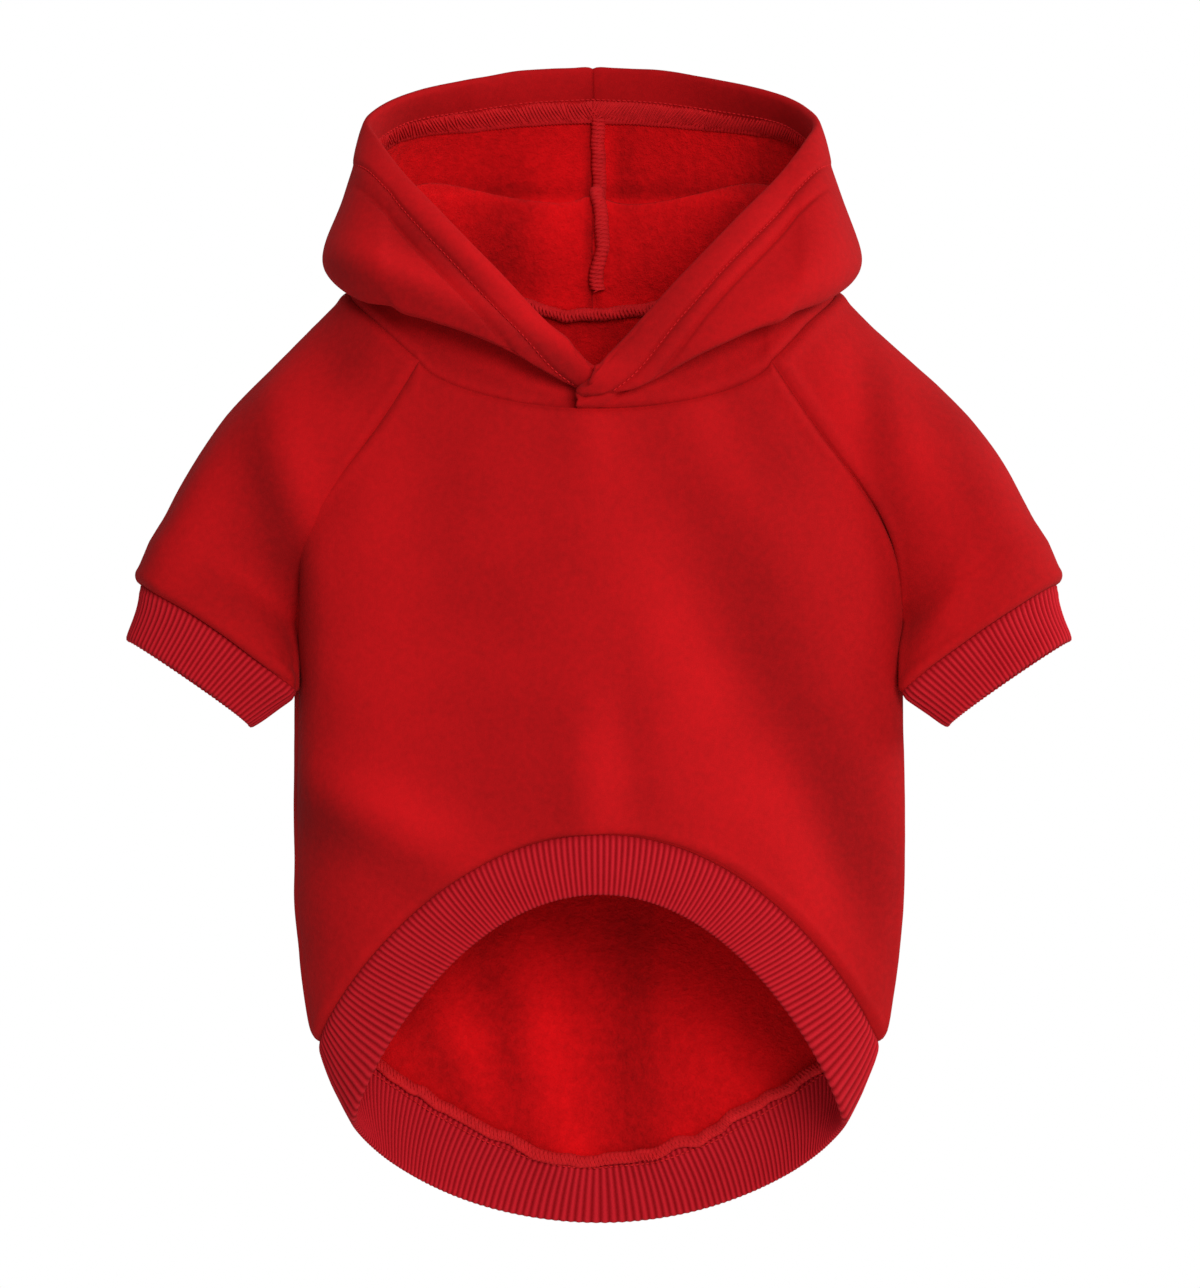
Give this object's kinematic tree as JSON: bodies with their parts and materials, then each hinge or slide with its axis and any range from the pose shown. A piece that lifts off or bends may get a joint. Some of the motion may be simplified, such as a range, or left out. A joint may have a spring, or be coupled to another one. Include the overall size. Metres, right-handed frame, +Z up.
{
  "type": "dog hoodie",
  "caption": "Short-sleeved raglan sweatshirt for a small dog, with a slumped hood, ribbed cuffs and a ribbed hem that is cut high on the belly and long on the back.",
  "frame": {"origin": "middle of the neck opening, level with the shoulder ends of the neck seam", "axes": "+Z up towards the hood, -Y out of the belly side that faces the viewer, +X towards the viewer's right"},
  "size_m": [0.3636, 0.1323, 0.4591],
  "materials": {
    "jersey": "matt brushed fleece jersey, plain red",
    "rib": "matt rib knit, plain red"
  },
  "bodies": {
    "root": {"belly_panel": "jersey", "back_panel": "jersey", "left_sleeve": "jersey", "right_sleeve": "jersey", "left_cuff": "rib", "right_cuff": "rib", "hem_band": "rib", "hood_left": "jersey", "hood_right": "jersey"}
  },
  "joints": []
}
